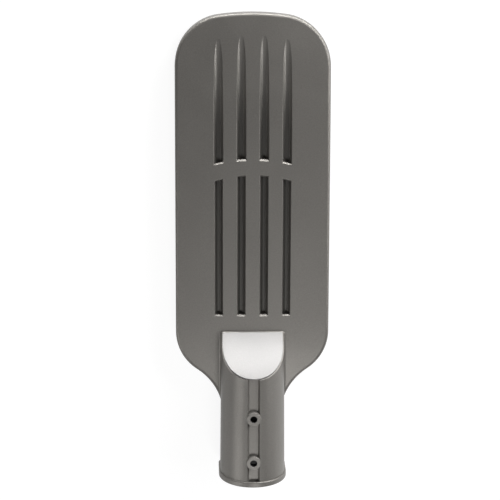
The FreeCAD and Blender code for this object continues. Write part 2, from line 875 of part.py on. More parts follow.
def lens_array():
    """Clear plate with a dome under each emitter and a pocket that takes the emitter."""
    plate = box(-board_side, board_side, lens_start_y, board_end_y, lens_face_z, board_face_z)
    sphere_radius = (lens_radius ** 2 + lens_height ** 2) / (2 * lens_height)
    domes = []
    pockets = []
    for place in led_places():
        centre = place + V(0, 0, lens_face_z - lens_height + sphere_radius)
        ball = Part.makeSphere(sphere_radius, centre)
        slab = rod(lens_radius, place + V(0, 0, lens_face_z - lens_height), place + V(0, 0, lens_face_z))
        domes.append(ball.common(slab))
        face = place + V(0, 0, board_face_z)
        pockets.append(rod(lens_pocket_radius, face - V(0, 0, lens_pocket_depth), face))
    holes = []
    for place in board_screw_places():
        low = place + V(0, 0, lens_face_z - spare)
        holes.append(rod(board_screw_radius + clearance, low, place + V(0, 0, board_face_z)))
    return fuse_all([plate] + domes).cut(pockets + holes)


def board_screws():
    grip = lens_plate_thickness + board_thickness + board_screw_grip - clearance
    board_screw_head = (board_screw_head_radius, board_screw_head_height)
    screws = []
    for place in board_screw_places():
        screws.append(pan_screw(place, lens_face_z, grip, board_screw_radius, *board_screw_head))
    return Part.makeCompound(screws)


def board_connector():
    half = connector_width / 2
    end_y = connector_start_y + connector_length
    return box(-half, half, connector_start_y, end_y, board_face_z - connector_height, board_face_z)


def led_driver():
    case = box(-driver_side, driver_side, driver_start_y, driver_end_y, board_z - driver_height, board_z)
    case = case.makeFillet(driver_round, edges_along(case, V(0, 0, 1)))
    middle = driver_start_y + driver_length / 2
    ear_end = driver_side + driver_ear_length
    half = driver_ear_width / 2
    ears = box(-ear_end, ear_end, middle - half, middle + half, board_z - driver_ear_thickness, board_z)
    ears = ears.makeFillet(driver_round, edges_along(ears, V(0, 0, 1)))
    holes = []
    for place in driver_screw_places():
        low = place + V(0, 0, board_z - driver_height)
        holes.append(rod(driver_screw_radius + clearance, low, place + V(0, 0, board_z)))
    return case.fuse(ears).cut(holes).removeSplitter()


def driver_screws():
    seat = board_z - driver_ear_thickness
    grip = driver_ear_thickness + driver_screw_grip - clearance
    driver_screw_head = (driver_screw_head_radius, driver_screw_head_height)
    screws = []
    for place in driver_screw_places():
        screws.append(pan_screw(place, seat, grip, driver_screw_radius, *driver_screw_head))
    return Part.makeCompound(screws)


def terminal_block():
    """Row of poles, each with a screw well below and a wire entry at both ends."""
    low = seat_z - terminal_height
    end_x = terminal_start_x + terminal_width
    body = box(terminal_start_x, end_x, terminal_start_y, terminal_end_y, low, seat_z)
    middle = terminal_start_y + terminal_length / 2
    cuts = []
    for x in terminal_xs:
        cuts.append(rod(terminal_well_radius, V(x, middle, low), V(x, middle, low + terminal_well_depth)))
        near = V(x, terminal_start_y, lead_z)
        cuts.append(rod(terminal_entry_radius, near, near + V(0, terminal_entry_depth, 0)))
        far = V(x, terminal_end_y, lead_z)
        cuts.append(rod(terminal_entry_radius, far, far - V(0, terminal_entry_depth, 0)))
    return body.cut(cuts)


def terminal_screws():
    low = seat_z - terminal_height
    middle = terminal_start_y + terminal_length / 2
    screws = []
    for x in terminal_xs:
        top = V(x, middle, low + terminal_well_depth)
        screw = rod(terminal_well_radius - clearance, top - V(0, 0, terminal_well_depth / 2), top)
        slot_z = top.z - terminal_well_depth / 2
        half = terminal_slot_width / 2
        reach_x = terminal_well_radius
        slot_end = slot_z + terminal_slot_depth
        slot = box(x - reach_x, x + reach_x, middle - half, middle + half, slot_z, slot_end)
        screws.append(screw.cut(slot))
    return Part.makeCompound(screws)


def surge_protector():
    far_x = -terminal_start_x - surge_width
    end_y = terminal_start_y + surge_length
    body = box(far_x, -terminal_start_x, terminal_start_y, end_y, seat_z - surge_height, seat_z)
    return body.makeFillet(surge_round, edges_along(body, V(0, 0, 1)))


def surge_leads():
    leads = []
    for share in surge_lead_shares:
        y = terminal_start_y + share * terminal_length
        leads.append(rod(lead_radius, V(-terminal_start_x, y, lead_z), V(terminal_start_x, y, lead_z)))
    return Part.makeCompound(leads)


def supply_lead(pole):
    """Straight lead from the bottom of a terminal's entry to the driver."""
    start = V(terminal_xs[pole], terminal_end_y - terminal_entry_depth, lead_z)
    return rod(lead_radius, start, V(start.x, driver_start_y, lead_z))


def earth_lug():
    """Ring under the earth screw, with a tongue and a barrel for the earth lead."""
    top = earth_place + V(0, 0, earth_face_z)
    ring = rod(earth_lug_radius, top - V(0, 0, earth_lug_thickness), top)
    half = earth_tongue_width / 2
    tongue_y = earth_lead_end_y + earth_barrel_wall / 2
    low_z = earth_face_z - earth_lug_thickness
    tongue = box(top.x - half, top.x + half, tongue_y, top.y, low_z, earth_face_z)
    bore_end = V(top.x, earth_lead_end_y, lead_z)
    bore_start = bore_end - V(0, earth_barrel_length, 0)
    barrel = rod(lead_radius + earth_barrel_wall, bore_start, bore_end + V(0, earth_barrel_wall, 0))
    hole = rod(earth_screw_radius + clearance, top - V(0, 0, earth_lug_thickness), top)
    return fuse_all([ring, tongue, barrel]).cut([hole, rod(lead_radius, bore_start, bore_end)])


def earth_lead():
    start = V(terminal_xs[-1], terminal_end_y - terminal_entry_depth, lead_z)
    return rod(lead_radius, start, V(start.x, earth_lead_end_y, lead_z))


def earth_screw():
    seat = earth_face_z - earth_lug_thickness
    grip = earth_lug_thickness + earth_screw_grip - clearance
    head = (earth_screw_head_radius, earth_screw_head_height)
    return pan_screw(earth_place, seat, grip, earth_screw_radius, *head)


def led_lead(side):
    x = side * led_lead_spacing / 2
    return rod(lead_radius, V(x, driver_end_y, grommet_z), V(x, connector_start_y, grommet_z))


def lead_grommet():
    """Rubber sleeve in the partition, with a flange on both faces."""
    near = V(0, partition_y, grommet_z)
    far = V(0, led_bay_y, grommet_z)
    out = V(0, grommet_flange, 0)
    wide = grommet_radius + grommet_flange
    sleeve = fuse_all([
        rod(grommet_radius, near, far),
        rod(wide, near - out, near),
        rod(wide, far, far + out),
    ])
    return sleeve.cut(rod(grommet_radius - grommet_wall, near - out, far + out))


gland_face_y = gland_wall_y - gland_washer_thickness
gland_hex_y = gland_face_y - gland_hex_length
gland_cap_y = gland_hex_y - gland_cap_length
gland_inner_radius = gland_thread_radius - gland_wall_thickness


def on_gland(y):
    return V(0, y, gland_z)


def gland_body():
    end_y = gear_start_y + gland_nut_length + gland_thread_spare
    flange = hex_prism(gland_hex, on_gland(gland_hex_y), on_gland(gland_face_y))
    thread = rod(gland_thread_radius, on_gland(gland_cap_y + gland_cap_length / 2), on_gland(end_y))
    return flange.fuse(thread).cut(rod(gland_inner_radius, on_gland(gland_cap_y), on_gland(end_y)))


def gland_washer():
    ring = rod(gland_hex / 2, on_gland(gland_face_y), on_gland(gland_wall_y))
    return ring.cut(rod(gland_thread_radius + clearance, on_gland(gland_face_y), on_gland(gland_wall_y)))


def gland_nut():
    end_y = gear_start_y + gland_nut_length
    nut = hex_prism(gland_nut_hex, on_gland(gear_start_y), on_gland(end_y))
    return nut.cut(rod(gland_thread_radius + clearance, on_gland(gear_start_y), on_gland(end_y)))


def gland_cap():
    """Domed cap nut that squeezes the seal round the cable."""
    wide = gland_hex / 2
    cap = cone(wide - gland_cap_taper, wide, on_gland(gland_cap_y), on_gland(gland_hex_y))
    thread_y = gland_cap_y + gland_cap_length / 4
    thread_room = rod(gland_thread_radius + clearance, on_gland(thread_y), on_gland(gland_hex_y))
    mouth_radius = gland_cable_radius + gland_mouth_margin
    mouth = rod(mouth_radius, on_gland(gland_cap_y), on_gland(gland_hex_y))
    return cap.cut([thread_room, mouth])


def gland_seal():
    start = on_gland(gland_cap_y + gland_cap_length / 4)
    end = on_gland(gland_hex_y)
    return rod(gland_inner_radius - clearance, start, end).cut(rod(gland_cable_radius, start, end))


def breather_vent():
    low = V(0, vent_y, rim_z + clearance)
    flange_top = low + V(0, 0, vent_flange_thickness)
    flange = rod(vent_flange_radius, low, flange_top)
    return flange.fuse(rod(vent_radius, flange_top, flange_top + V(0, 0, vent_body_length)))


pieces = {
    "housing": housing(),
    "blank_plate": blank_plate(),
    "front_frame": front_frame(),
    "frame_gasket": frame_gasket(),
    "frame_screws": frame_screws(),
    "glass_cover": glass_cover(),
    "glass_seal": glass_seal(),
    "led_board": led_board(),
    "led_emitters": led_emitters(),
    "lens_array": lens_array(),
    "board_screws": board_screws(),
    "board_connector": board_connector(),
    "led_driver": led_driver(),
    "driver_screws": driver_screws(),
    "terminal_block": terminal_block(),
    "terminal_screws": terminal_screws(),
    "surge_protector": surge_protector(),
    "surge_leads": surge_leads(),
    "live_lead": supply_lead(0),
    "neutral_lead": supply_lead(1),
    "earth_lead": earth_lead(),
    "earth_lug": earth_lug(),
    "earth_screw": earth_screw(),
    "led_lead_positive": led_lead(1),
    "led_lead_negative": led_lead(-1),
    "lead_grommet": lead_grommet(),
    "gland_body": gland_body(),
    "gland_washer": gland_washer(),
    "gland_nut": gland_nut(),
    "gland_cap": gland_cap(),
    "gland_seal": gland_seal(),
    "breather_vent": breather_vent(),
}

os.makedirs("parts", exist_ok=True)
for node, shape in pieces.items():
    solids = shape.Solids
    whole = solids[0] if len(solids) == 1 else Part.makeCompound(solids)
    whole.exportStep("parts/" + node + ".step")
    print(node, len(shape.Solids), "solid", shape.isValid(), round(shape.Volume / 1000.0, 2), "cm3")
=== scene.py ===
# %% [markdown]
# An LED street light lies on its lens side, with its grooved die-cast back up. The solids come
# packed from the CAD work, in metres and in one frame: the middle of the socket's mouth is the
# origin, the head runs along +Y and the back faces +Z. Here they get their finishes, one part
# with more detail than its solid, a floor, light and a camera.

# %% Load the solids
import json
import math

import bpy
from mathutils import Matrix, Vector


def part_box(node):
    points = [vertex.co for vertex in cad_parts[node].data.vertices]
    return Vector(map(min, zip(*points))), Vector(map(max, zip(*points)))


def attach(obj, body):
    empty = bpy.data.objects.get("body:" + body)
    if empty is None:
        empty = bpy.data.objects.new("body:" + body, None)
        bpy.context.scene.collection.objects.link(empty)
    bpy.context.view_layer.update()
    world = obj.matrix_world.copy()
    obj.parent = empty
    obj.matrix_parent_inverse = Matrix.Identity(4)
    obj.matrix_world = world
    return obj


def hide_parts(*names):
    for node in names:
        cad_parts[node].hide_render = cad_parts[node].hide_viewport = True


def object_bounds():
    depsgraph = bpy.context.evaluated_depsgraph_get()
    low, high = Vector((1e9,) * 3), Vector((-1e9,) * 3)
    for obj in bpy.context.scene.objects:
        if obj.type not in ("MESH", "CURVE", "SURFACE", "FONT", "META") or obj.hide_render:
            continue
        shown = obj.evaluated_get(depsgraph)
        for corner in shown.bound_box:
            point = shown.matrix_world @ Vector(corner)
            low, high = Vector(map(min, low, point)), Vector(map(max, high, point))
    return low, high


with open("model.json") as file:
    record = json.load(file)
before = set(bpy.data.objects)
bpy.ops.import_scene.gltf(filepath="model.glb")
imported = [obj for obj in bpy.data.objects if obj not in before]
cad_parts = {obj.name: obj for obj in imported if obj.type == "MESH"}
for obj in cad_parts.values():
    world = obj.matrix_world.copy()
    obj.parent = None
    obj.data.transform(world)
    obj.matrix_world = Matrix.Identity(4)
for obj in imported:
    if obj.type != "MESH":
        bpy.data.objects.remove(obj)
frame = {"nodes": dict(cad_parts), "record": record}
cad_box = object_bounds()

nodes = frame["nodes"]
scene = bpy.context.scene
print("loaded", len(nodes), "solids")

# %% [markdown]
# The photograph is taken from above the lamp, a little beyond its tip and to the left, with a
# long lens. The camera's place and turn below were found by lining up the lamp's outline, its
# grooves and its clamp holes with the picture. A constraint could aim the camera at a point, but
# it would lose the slight roll of the picture, so two axes of the camera make up its turn, and
# the third follows. The picture is square, so the lens follows from the sensor's width alone.

# %% Camera
camera_place = Vector((-0.05692, 0.63537, 1.65478))
camera_right = Vector((0.99949, 0.00254, 0.03183))
camera_up = Vector((0.00475, 0.97391, -0.22690))
focal_pixels = 1622.35
picture_pixels = 500
sensor_width = 36.0

bpy.ops.object.camera_add(location=camera_place)
camera = bpy.context.object
camera.name = "camera"
camera_back = camera_right.cross(camera_up)
turn = Matrix((camera_right, camera_up, camera_back)).transposed()
camera.rotation_euler = turn.to_euler()
camera.data.sensor_width = sensor_width
camera.data.lens = sensor_width * focal_pixels / picture_pixels
scene.camera = camera
print("camera lens", round(camera.data.lens, 1), "mm")

# %% [markdown]
# Shader trees could be wired node by node in the editor. In a script a few small helpers keep
# them short. One feeds a socket with whatever is at hand: another socket, a colour or a number.
# The others add the nodes that come up again and again: a sum, a mix of two colours, a new range
# for a value, a place split into its three parts, a bump, and a choice between two shaders.

# %% Helpers for shader trees
# The Mix node has sockets for values, vectors and colours; these are the numbers of the last.
mix_first = 6
mix_second = 7
mix_result = 2


def put(tree, socket, value):
    """Feed a socket from another socket, a colour or a number."""
    if isinstance(value, bpy.types.NodeSocket):
        tree.links.new(value, socket)
    elif isinstance(value, tuple):
        socket.default_value = (*value, 1)
    else:
        socket.default_value = value


def calc(tree, operation, first, second=0.0, third=0.0):
    node = tree.nodes.new("ShaderNodeMath")
    node.operation = operation
    for socket, value in zip(node.inputs, (first, second, third)):
        put(tree, socket, value)
    return node.outputs["Value"]


def blend(tree, factor, first, second):
    """Mix of two colours; factor 0 gives the first."""
    node = tree.nodes.new("ShaderNodeMix")
    node.data_type = "RGBA"
    put(tree, node.inputs["Factor"], factor)
    put(tree, node.inputs[mix_first], first)
    put(tree, node.inputs[mix_second], second)
    return node.outputs[mix_result]


def spread(tree, value, low, high, start=0.0, end=1.0):
    """The range from start to end, moved to the range from low to high."""
    node = tree.nodes.new("ShaderNodeMapRange")
    for socket, number in zip(node.inputs, (value, start, end, low, high)):
        put(tree, socket, number)
    return node.outputs["Result"]


def object_place(tree):
    return tree.nodes.new("ShaderNodeTexCoord").outputs["Object"]


def split(tree, vector):
    node = tree.nodes.new("ShaderNodeSeparateXYZ")
    put(tree, node.inputs["Vector"], vector)
    return node.outputs


def noise(tree, place, scale, detail):
    node = tree.nodes.new("ShaderNodeTexNoise")
    put(tree, node.inputs["Vector"], place)
    put(tree, node.inputs["Scale"], scale)
    put(tree, node.inputs["Detail"], detail)
    return node.outputs["Fac"]


def new_material(name):
    """A material with its tree and its Principled shader."""
    material = bpy.data.materials.new(name)
    material.use_nodes = True
    tree = material.node_tree
    return material, tree, tree.nodes["Principled BSDF"]


def raise_surface(tree, shader, height, strength, depth):
    bump = tree.nodes.new("ShaderNodeBump")
    put(tree, bump.inputs["Strength"], strength)
    put(tree, bump.inputs["Distance"], depth)
    put(tree, bump.inputs["Height"], height)
    put(tree, shader.inputs["Normal"], bump.outputs["Normal"])


def show_either(tree, output, factor, first, second):
    """Show the first shader where the factor is 0, and the second where it is 1."""
    both = tree.nodes.new("ShaderNodeMixShader")
    for socket, value in zip(both.inputs, (factor, first, second)):
        put(tree, socket, value)
    put(tree, tree.nodes[output].inputs["Surface"], both.outputs["Shader"])


print("helpers ready")

# %% [markdown]
# The lamp lies on a plain white floor. More light would make the floor white, but the lamp too
# pale. So wherever the camera looks at it the floor mostly glows white, as the paper behind a
# catalogue picture does, and a smaller share of it stays an ordinary white surface, so that the
# lamp keeps a soft shadow. What the lamp mirrors of the floor glows as well, but less and less
# towards the left, because in the picture the right edges are pale and the left ones dark.

# %% Floor
floor_half = 30.0
floor_z = cad_box[0][2]
paper_white = (0.9, 0.9, 0.9)
paper_roughness = 0.9
glow_strength = 1.12
seen_share = 0.78
mirrored_shares = (0.08, 0.82)
mirror_fade = (-0.075, -0.03)

bpy.ops.object.select_all(action="DESELECT")
bpy.ops.mesh.primitive_plane_add(size=2 * floor_half, location=(0, 0, floor_z))
floor = bpy.context.object
floor.name = "floor"
bpy.ops.object.transform_apply(location=True, rotation=True, scale=True)

paper, tree, shader = new_material("white_paper")
put(tree, shader.inputs["Base Color"], paper_white)
put(tree, shader.inputs["Roughness"], paper_roughness)
rays = tree.nodes.new("ShaderNodeLightPath")
floor_x = split(tree, object_place(tree))["X"]
mirrored = spread(tree, floor_x, *mirrored_shares, *mirror_fade)
share = calc(tree, "MULTIPLY", rays.outputs["Is Glossy Ray"], mirrored)
for ray in ("Is Camera Ray", "Is Transmission Ray"):
    share = calc(tree, "MULTIPLY_ADD", rays.outputs[ray], seen_share, share)
glow = tree.nodes.new("ShaderNodeEmission")
put(tree, glow.inputs["Strength"], glow_strength)
show_either(tree, "Material Output", share, shader.outputs["BSDF"], glow.outputs["Emission"])
floor.data.materials.append(paper)
print("floor at", round(floor_z, 4))

# %% [markdown]
# In the picture every face that looks towards the tip is nearly white: the slanted plate, the
# ramps at the grooves' ends, the rim of the tip. One large lamp overhead would be simpler, but it
# would make the flat back the palest face. A long, low lamp and a strip close to the floor beyond
# the tip light the slanted faces, and leave the back dark, because it mirrors the dark room round
# the camera. Two lamps on the right light the grooves' left walls, three behind the mouth light
# the shoulders, and one on the left draws the socket's round side. The room itself is nearly
# dark, and only the camera sees it white.

# %% Light
lamp_aim = Vector((0, 0.25, 0))
white = (1, 1, 1)
room_strength = 0.033


def area_light(name, place, width, height, watts):
    bpy.ops.object.light_add(type="AREA", location=place)
    lamp = bpy.context.object
    lamp.name = name
    lamp.data.shape = "RECTANGLE"
    lamp.data.size = width
    lamp.data.size_y = height
    lamp.data.energy = watts
    lamp.rotation_euler = (lamp_aim - Vector(place)).to_track_quat("-Z", "Y").to_euler()


area_light("tip_light", (0.1, 2.0, 0.12), width=2.0, height=0.4, watts=37.9)
area_light("tip_strip", (0.1, 1.6, 0.0), width=2.2, height=0.12, watts=14.8)
area_light("right_tip_light", (1.2, 1.5, 0.9), width=1.2, height=0.8, watts=25.6)
area_light("right_light", (1.6, 0.5, 0.8), width=1.4, height=0.7, watts=16.5)
area_light("mouth_light", (0.0, -0.9, 1.6), width=1.4, height=0.8, watts=3)
area_light("mouth_spot", (0.25, -0.85, 1.45), width=0.5, height=0.5, watts=7.6)
area_light("mouth_low_light", (0.0, -1.6, 0.4), width=1.6, height=0.6, watts=3.3)
area_light("neck_light", (-0.95, -0.35, 0.65), width=0.5, height=0.9, watts=4.6)

world = bpy.data.worlds.new("room")
world.use_nodes = True
scene.world = world
tree = world.node_tree
room = tree.nodes["Background"]
put(tree, room.inputs["Color"], white)
put(tree, room.inputs["Strength"], room_strength)
backdrop = tree.nodes.new("ShaderNodeBackground")
put(tree, backdrop.inputs["Color"], white)
rays = tree.nodes.new("ShaderNodeLightPath")
seen = rays.outputs["Is Camera Ray"]
show_either(tree, "World Output", seen, room.outputs["Background"], backdrop.outputs["Background"])
scene.view_settings.view_transform = "Standard"

# %% [markdown]
# Three effects come up in several finishes. They could be wired anew in every material, but as
# node groups with their own inputs and outputs they are built once. Fine grain is the speckle of
# a powder coat or of moulded plastic, and puts out a tone and a height. Soft mottle is the slow
# change in gloss that any large coated or moulded face has. Brushing is grain drawn out along
# one direction, as on drawn or turned metal. All of them read the place on the object, so that
# grain runs on across neighbouring pieces. Most of what a noise gives lies in a narrow range,
# which is stretched to the full one.

# %% Shared effects
noise_range = (0.3, 0.7)
wave_scale = 0.3
wave_height = 1.5


def new_group(name, inputs, outputs):
    group = bpy.data.node_groups.new(name, "ShaderNodeTree")
    for label, usual in inputs.items():
        socket = group.interface.new_socket(label, in_out="INPUT", socket_type="NodeSocketFloat")
        socket.default_value = usual
    for label in outputs:
        group.interface.new_socket(label, in_out="OUTPUT", socket_type="NodeSocketFloat")
    start = group.nodes.new("NodeGroupInput")
    end = group.nodes.new("NodeGroupOutput")
    return group, start.outputs, end.inputs


def use_group(tree, group, **settings):
    node = tree.nodes.new("ShaderNodeGroup")
    node.node_tree = group
    for label, value in settings.items():
        put(tree, node.inputs[label], value)
    return node.outputs


fine_grain, start, end = new_group("fine_grain", {"Scale": 900.0}, ("Tone", "Height"))
place = object_place(fine_grain)
speckle = noise(fine_grain, place, start["Scale"], detail=3)
wide = calc(fine_grain, "MULTIPLY", start["Scale"], wave_scale)
waves = noise(fine_grain, place, wide, detail=1)
put(fine_grain, end["Tone"], spread(fine_grain, speckle, 0, 1, *noise_range))
put(fine_grain, end["Height"], calc(fine_grain, "MULTIPLY_ADD", waves, wave_height, speckle))

soft_mottle, start, end = new_group("soft_mottle", {"Scale": 22.0}, ("Amount",))
cloud = noise(soft_mottle, object_place(soft_mottle), start["Scale"], detail=2)
put(soft_mottle, end["Amount"], spread(soft_mottle, cloud, 0, 1, *noise_range))

brushing, start, end = new_group("brushing", {"Along": 30.0, "Across": 4000.0}, ("Tone",))
squeeze = brushing.nodes.new("ShaderNodeCombineXYZ")
for axis, label in zip(squeeze.inputs, ("Across", "Along", "Across")):
    put(brushing, axis, start[label])
drawn = brushing.nodes.new("ShaderNodeVectorMath")
drawn.operation = "MULTIPLY"
put(brushing, drawn.inputs[0], object_place(brushing))
put(brushing, drawn.inputs[1], squeeze.outputs["Vector"])
streaks = noise(brushing, drawn.outputs["Vector"], scale=1.0, detail=2)
put(brushing, end["Tone"], spread(brushing, streaks, 0, 1, *noise_range))
print("groups", fine_grain.name, soft_mottle.name, brushing.name)

# %% [markdown]
# The housing's coat is not the same all over. Inside the socket's bore and the clamp holes it is
# painted nearly black, as painted shade, and it is dull and not metallic there. Their places come
# from the record's mounts, and a mask picks all that lies near their axes. A second mask darkens
# the grooves with their depth under the back's skin, which is flat and then drops in an arc towards
# the tip: painted shade in the grooves. Such masks could be painted on the mesh. Worked out from
# the place on the object they need no painting, and their edges stay sharp.

# %% Painted shade in holes and grooves
millimetre = 0.001
mounts = {mount["name"]: mount for mount in frame["record"]["mounts"]}
bore = mounts["spigot_bore"]["dims"]
clamps = mounts["clamp_holes"]
# Reach of the painted shade inside the bore and the clamp holes.
hole_shade_margin = 0.0003
bore_reach = bore["r_mm"] * millimetre + hole_shade_margin
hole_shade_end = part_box("gland_washer")[1][1] + hole_shade_margin
clamp_reach = clamps["dims"]["hole_r_mm"] * millimetre + hole_shade_margin
clamp_step = clamps["dims"]["spacing_y_mm"] * millimetre / 2
clamp_ys = [clamps["pos_m"][1] - clamp_step, clamps["pos_m"][1] + clamp_step]

back_z = -0.013
arc_start = 0.348
arc_radius = 1.089
grooves_side = 0.042
grooves_start = 0.16
# Painted shade in the grooves: its lowest place, the depths where it starts and is full, and its share.
groove_shade_lowest = -0.0205
groove_shade_depths = (0.0045, 0.0065)
groove_shade_share = 0.42


def all_of(tree, *masks):
    product = masks[0]
    for mask in masks[1:]:
        product = calc(tree, "MULTIPLY", product, mask)
    return product


def flat_distance(tree, first, second):
    """Distance from an axis, from the two coordinates across it."""
    square = calc(tree, "MULTIPLY", first, first)
    return calc(tree, "SQRT", calc(tree, "MULTIPLY_ADD", second, second, square))


# Painted shade inside the socket's bore and the clamp holes: 1 near their axes, 0 elsewhere.
def hole_shade_mask(tree, x, y, z):
    near_axis = calc(tree, "LESS_THAN", flat_distance(tree, x, z), bore_reach)
    mask = all_of(tree, near_axis, calc(tree, "LESS_THAN", y, hole_shade_end))
    above = calc(tree, "GREATER_THAN", z, 0.0)
    for hole_y in clamp_ys:
        away = flat_distance(tree, x, calc(tree, "SUBTRACT", y, hole_y))
        in_hole = all_of(tree, calc(tree, "LESS_THAN", away, clamp_reach), above)
        mask = calc(tree, "MAXIMUM", mask, in_hole)
    return mask


# The grooves' painted shade, which darkens the coat with the depth under the back's skin.
def groove_shade_mask(tree, x, y, z):
    """Painted shade: rises with the depth in a groove, from 0 to the full share at its floor."""
    past_start = calc(tree, "MAXIMUM", calc(tree, "SUBTRACT", y, arc_start), 0.0)
    square = calc(tree, "MULTIPLY", past_start, past_start)
    skin = calc(tree, "SUBTRACT", back_z, calc(tree, "DIVIDE", square, 2 * arc_radius))
    groove_shade = spread(tree, calc(tree, "SUBTRACT", skin, z), 0, groove_shade_share, *groove_shade_depths)
    between = calc(tree, "LESS_THAN", calc(tree, "ABSOLUTE", x), grooves_side)
    beyond = calc(tree, "GREATER_THAN", y, grooves_start)
    above = calc(tree, "GREATER_THAN", z, groove_shade_lowest)
    return all_of(tree, groove_shade, between, beyond, above)


# Prints how far the painted shade reaches in the bore, and where the clamp holes lie.
print("bare inside", round(bore_reach, 5), "holes at", [round(y, 4) for y in clamp_ys])

# %% [markdown]
# The housing and the front frame wear one satin powder coat, a warm grey with fine metal flakes.
# The flakes make it half a metal: faces turned to a lamp flash pale, the others stay dark. A
# plain matt grey would show neither. The coat's skin is slightly wavy, which softens what it
# mirrors. The plate on the slanted face wears the same kind of coat, a little more neutral.

# %% Body coat
# Nearly black colour: the painted shade inside the bore and the clamp holes.
hole_shade_colour = (0.015, 0.015, 0.015)
hole_dullness = 0.3
coat_bump = 0.15
grain_depth = 0.0002


def powder_coat(name, dark, light, metallic, gloss, grain_scale):
    """Flaked powder coat; gloss is its lowest and highest roughness."""
    material, tree, shader = new_material(name)
    grain = use_group(tree, fine_grain, Scale=grain_scale)
    mottle = use_group(tree, soft_mottle)
    colour = blend(tree, grain["Tone"], dark, light)
    roughness = spread(tree, mottle["Amount"], *gloss)
    place = split(tree, object_place(tree))
    hole_shade = hole_shade_mask(tree, *place)
    # Painted shade: the coat's colour darkens inside the holes and down in the grooves.
    painted_shade = calc(tree, "MAXIMUM", hole_shade, groove_shade_mask(tree, *place))
    put(tree, shader.inputs["Base Color"], blend(tree, painted_shade, colour, hole_shade_colour))
    put(tree, shader.inputs["Metallic"], spread(tree, hole_shade, metallic, 0.0))
    put(tree, shader.inputs["Roughness"], calc(tree, "MULTIPLY_ADD", hole_shade, hole_dullness, roughness))
    raise_surface(tree, shader, grain["Height"], coat_bump, grain_depth)
    return material


body_coat = powder_coat(
    "body_coat", dark=(0.167, 0.159, 0.147), light=(0.197, 0.188, 0.174),
    metallic=0.65, gloss=(0.43, 0.47), grain_scale=900,
)
plate_coat = powder_coat(
    "plate_light", dark=(0.176, 0.173, 0.170), light=(0.200, 0.197, 0.194),
    metallic=0.65, gloss=(0.43, 0.46), grain_scale=1400,
)
print("body and plate coats ready")

# %% [markdown]
# Seals, cable gland and vent are moulded, and so are the terminal block and the leads' sleeves.
# A flat colour would do from afar, but close by it looks like paint on a drawing. So moulded
# pieces share one recipe: a colour that changes slightly from place to place, a grain too fine
# to see as dots, and a gloss that drifts.

# %% Moulded finishes
dark_share = 0.88
light_share = 1.1
moulded_mottle = 60.0


def moulded(name, colour, gloss, grain_scale, strength):
    material, tree, shader = new_material(name)
    grain = use_group(tree, fine_grain, Scale=grain_scale)
    mottle = use_group(tree, soft_mottle, Scale=moulded_mottle)
    dark = tuple(dark_share * part for part in colour)
    light = tuple(light_share * part for part in colour)
    put(tree, shader.inputs["Base Color"], blend(tree, grain["Tone"], dark, light))
    put(tree, shader.inputs["Roughness"], spread(tree, mottle["Amount"], *gloss))
    raise_surface(tree, shader, grain["Height"], strength, grain_depth)
    return material


rubber = {"gloss": (0.7, 0.85), "grain_scale": 1500, "strength": 0.3}
nylon = {"gloss": (0.4, 0.5), "grain_scale": 2500, "strength": 0.25}
block = {"gloss": (0.35, 0.45), "grain_scale": 2500, "strength": 0.1}
shiny_block = {"gloss": (0.3, 0.4), "grain_scale": 2500, "strength": 0.1}
sleeve = {"gloss": (0.35, 0.45), "grain_scale": 3000, "strength": 0.1}

seal_rubber = moulded("seal_rubber", (0.028, 0.028, 0.028), **rubber)
black_nylon = moulded("black_nylon", (0.022, 0.022, 0.023), **nylon)
white_plastic = moulded("white_plastic", (0.74, 0.74, 0.71), **block)
blue_plastic = moulded("blue_plastic", (0.05, 0.11, 0.3), **shiny_block)
lead_brown = moulded("lead_brown", (0.17, 0.065, 0.03), **sleeve)
lead_blue = moulded("lead_blue", (0.035, 0.09, 0.4), **sleeve)
lead_red = moulded("lead_red", (0.48, 0.03, 0.03), **sleeve)
lead_black = moulded("lead_black", (0.02, 0.02, 0.02), **sleeve)
print("moulded finishes ready")

# %% [markdown]
# The earth lead's sleeve is green with a yellow stripe that winds round it. The stripe could be
# painted on an unwrapped sleeve. The lead is short and straight, so a band pattern turned across
# it is enough.

# %% Earth lead
sleeve_green = (0.03, 0.22, 0.04)
sleeve_yellow = (0.7, 0.55, 0.03)
stripe_turn = math.radians(35)
stripe_scale = 55
stripe_start = 0.6

lead_green, tree, shader = new_material("lead_green")
turned = tree.nodes.new("ShaderNodeMapping")
turned.inputs["Rotation"].default_value = (0, 0, stripe_turn)
put(tree, turned.inputs["Vector"], object_place(tree))
bands = tree.nodes.new("ShaderNodeTexWave")
put(tree, bands.inputs["Scale"], stripe_scale)
put(tree, bands.inputs["Vector"], turned.outputs["Vector"])
stripe = calc(tree, "GREATER_THAN", bands.outputs["Fac"], stripe_start)
put(tree, shader.inputs["Base Color"], blend(tree, stripe, sleeve_green, sleeve_yellow))
mottle = use_group(tree, soft_mottle, Scale=moulded_mottle)
put(tree, shader.inputs["Roughness"], spread(tree, mottle["Amount"], *sleeve["gloss"]))
print("earth lead striped")

# %% [markdown]
# Screws are plain stainless steel, the terminals' clamps and the earth lug are brass, and the
# driver sits in a drawn aluminium case whose two ends are closed with black potting. Metal with
# one even gloss looks like plastic, and real metal shows its making. So the brushing group
# changes tone and gloss together, along one direction.

# %% Metals
turned_grain = {"Along": 400, "Across": 3000}
turned_gloss = (0.25, 0.4)
brushed_bump = 0.1
brushed_depth = 0.00005
case_dark = (0.38, 0.38, 0.39)
case_light = (0.5, 0.5, 0.51)
case_gloss = (0.35, 0.5)
potting_black = (0.02, 0.02, 0.02)
potting_depth = 0.003
driver_low, driver_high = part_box("led_driver")


